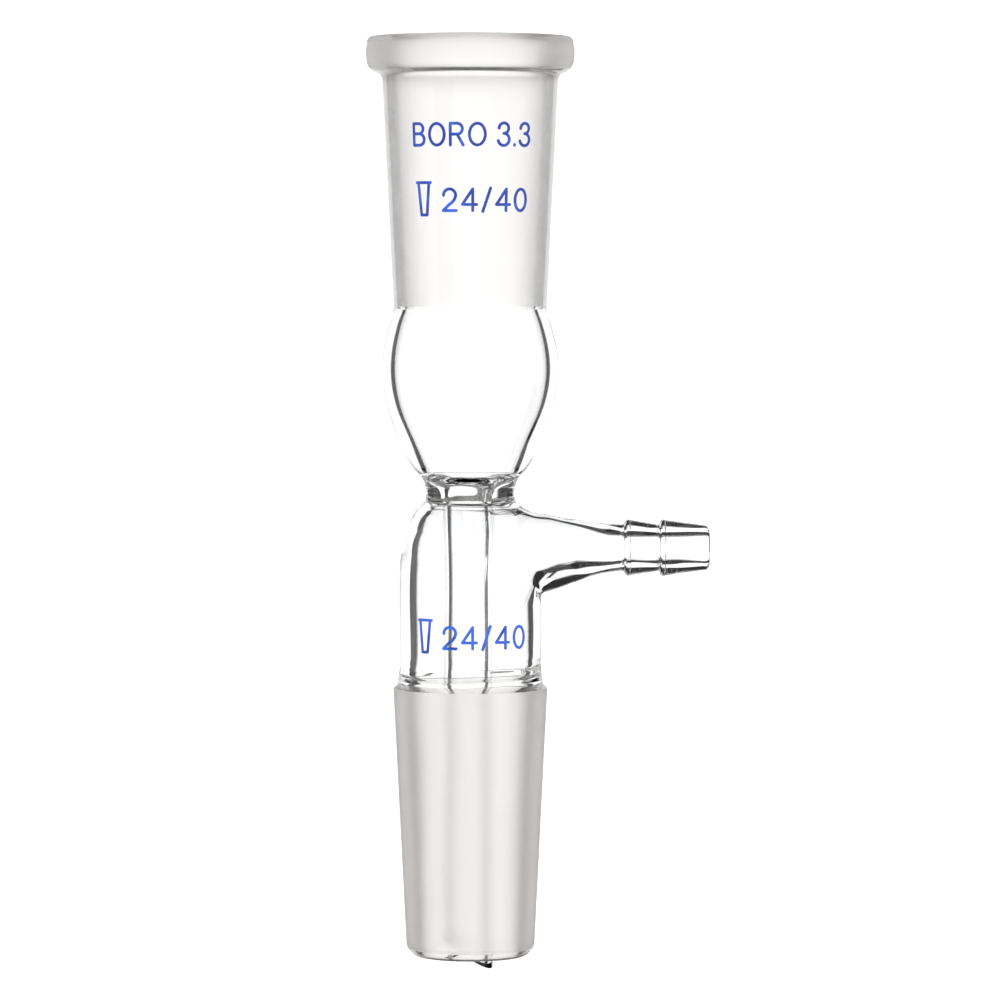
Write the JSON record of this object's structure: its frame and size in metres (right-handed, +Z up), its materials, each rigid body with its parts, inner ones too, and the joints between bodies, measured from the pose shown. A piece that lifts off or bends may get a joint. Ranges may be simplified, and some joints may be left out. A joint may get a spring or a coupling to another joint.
{
  "type": "vacuum adapter",
  "caption": "Straight glass vacuum adapter with a ground socket above, a bulb, an inner drip tube, a barbed side arm for a vacuum hose, and a ground cone below.",
  "frame": {"origin": "centre of the ground cone's large end, on the axis of the adapter", "axes": "+Z up the adapter's axis to the socket's mouth, +X along the barbed side arm"},
  "size_m": [0.0534, 0.0324, 0.1453],
  "materials": {
    "clear_glass": "clear, fire-polished",
    "ground_glass": "finely ground, matte white",
    "blue_enamel": "fired blue print"
  },
  "bodies": {
    "root": {"socket_joint": "ground_glass", "bulb": "clear_glass", "ring_seal": "clear_glass", "drip_tube": "clear_glass", "body_tube": "clear_glass", "side_arm": "clear_glass", "hose_connector": "clear_glass", "cone_joint": "ground_glass", "glass_type_mark": "blue_enamel", "upper_size_mark": "blue_enamel", "lower_size_mark": "blue_enamel"}
  },
  "joints": []
}
